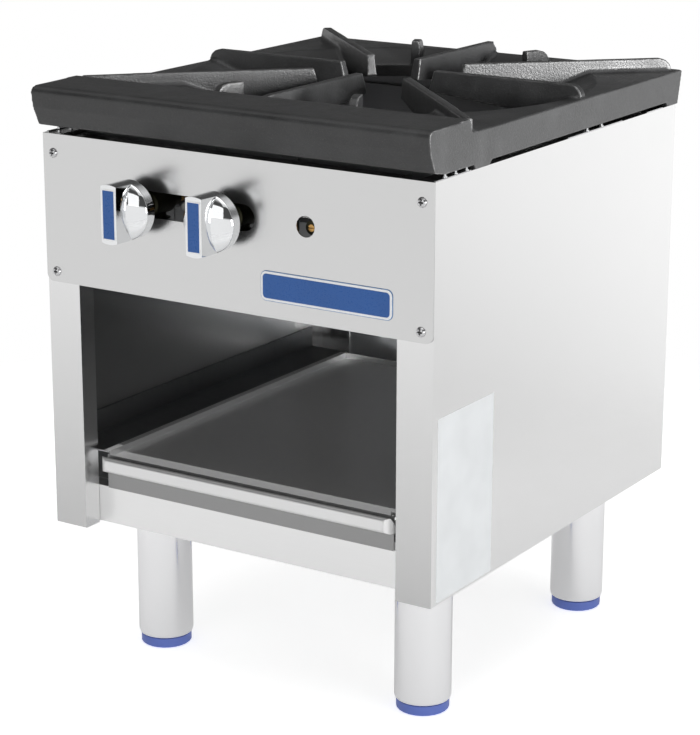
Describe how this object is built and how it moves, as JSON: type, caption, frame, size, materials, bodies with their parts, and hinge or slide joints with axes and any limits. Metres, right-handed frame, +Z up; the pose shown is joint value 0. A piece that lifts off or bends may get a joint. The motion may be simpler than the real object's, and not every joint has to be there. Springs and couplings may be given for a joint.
{
  "type": "stock pot range",
  "caption": "Floor-standing single-burner stock pot range: open stainless cabinet, ribbed cast iron top grate, ring burner, bar-grip knobs, slide-out drip tray, tubular legs.",
  "frame": {"origin": "centre of the bounding box on the floor", "axes": "+Z up; the control panel faces -Y; +X is the right-hand side seen from the front"},
  "size_m": [0.4624, 0.5964, 0.6155],
  "materials": {
    "stainless": "satin",
    "galvanised": "matt",
    "chrome": "polished",
    "brass": "satin",
    "pipe": "satin",
    "cast_burner": "rough",
    "cast_grate": "satin enamel",
    "leg_steel": "brushed lengthways",
    "foot_cap": "matt",
    "screws": "bright"
  },
  "bodies": {
    "cabinet": {"bottom_rail_front": "stainless", "burner_bar_front": "galvanised", "burner_bar_rear": "galvanised", "burner_inner": "cast_burner", "burner_outer": "cast_burner", "cabinet_back": "galvanised", "cabinet_side_left": "stainless", "cabinet_side_right": "stainless", "front_control_panel": "stainless", "gas_manifold": "pipe", "gas_valve_left": "brass", "gas_valve_right": "brass", "heat_shield": "stainless", "leg_channel_left": "galvanised", "leg_channel_right": "galvanised", "leg_front_left": "leg_steel", "leg_front_right": "leg_steel", "leg_rear_left": "leg_steel", "leg_rear_right": "leg_steel", "manifold_strap_left": "galvanised", "manifold_strap_right": "galvanised", "orifice_hood_left": "brass", "orifice_hood_right": "brass", "panel_screw_bottom_left": "screws", "panel_screw_bottom_right": "screws", "panel_screw_top_left": "screws", "panel_screw_top_right": "screws", "pilot_bracket": "galvanised", "pilot_burner": "galvanised", "pilot_tube": "galvanised", "pilot_valve": "brass", "tap_plug": "galvanised", "top_rail_front": "galvanised", "top_rail_rear": "galvanised", "tray_runner_left": "galvanised", "tray_runner_right": "galvanised"},
    "knob_left_body": {"knob_left": "chrome", "valve_stem_left": "brass"},
    "knob_right_body": {"knob_right": "chrome", "valve_stem_right": "brass"},
    "tray": {"drip_tray": "stainless"},
    "grate": {"top_grate": "cast_grate"},
    "shutter_left": {"air_shutter_left": "galvanised"},
    "shutter_right": {"air_shutter_right": "galvanised"},
    "pilot_screw": {"pilot_adjuster": "brass"},
    "levelling_foot_front_left": {"foot_front_left": "foot_cap"},
    "levelling_foot_front_right": {"foot_front_right": "foot_cap"},
    "levelling_foot_rear_left": {"foot_rear_left": "foot_cap"},
    "levelling_foot_rear_right": {"foot_rear_right": "foot_cap"}
  },
  "joints": [
    {"name": "knob_left_turn", "type": "hinge", "parent": "cabinet", "child": "knob_left_body", "pos_m": [-0.1072, -0.26375, 0.5048], "axis": [0, -1, 0], "range_deg": [0, 90]},
    {"name": "knob_right_turn", "type": "hinge", "parent": "cabinet", "child": "knob_right_body", "pos_m": [-0.0056, -0.26375, 0.5048], "axis": [0, -1, 0], "range_deg": [0, 90]},
    {"name": "tray_slide", "type": "slide", "parent": "cabinet", "child": "tray", "axis": [0, -1, 0], "range_m": [0, 0.4]},
    {"name": "grate_lift", "type": "slide", "parent": "cabinet", "child": "grate", "axis": [0, 0, 1], "range_m": [0, 0.1]},
    {"name": "shutter_left_turn", "type": "hinge", "parent": "cabinet", "child": "shutter_left", "pos_m": [-0.1072, -0.15655, 0.5048], "axis": [0, -1, 0], "range_deg": [-40, 20]},
    {"name": "shutter_right_turn", "type": "hinge", "parent": "cabinet", "child": "shutter_right", "pos_m": [-0.0056, -0.15655, 0.5048], "axis": [0, -1, 0], "range_deg": [-40, 20]},
    {"name": "pilot_screw_turn", "type": "hinge", "parent": "cabinet", "child": "pilot_screw", "pos_m": [0.0881, -0.23725, 0.5048], "axis": [0, -1, 0], "range_deg": [-180, 180]},
    {"name": "foot_front_left_level", "type": "slide", "parent": "cabinet", "child": "levelling_foot_front_left", "axis": [0, 0, -1], "range_m": [0, 0.02]},
    {"name": "foot_front_right_level", "type": "slide", "parent": "cabinet", "child": "levelling_foot_front_right", "axis": [0, 0, -1], "range_m": [0, 0.02]},
    {"name": "foot_rear_left_level", "type": "slide", "parent": "cabinet", "child": "levelling_foot_rear_left", "axis": [0, 0, -1], "range_m": [0, 0.02]},
    {"name": "foot_rear_right_level", "type": "slide", "parent": "cabinet", "child": "levelling_foot_rear_right", "axis": [0, 0, -1], "range_m": [0, 0.02]}
  ]
}
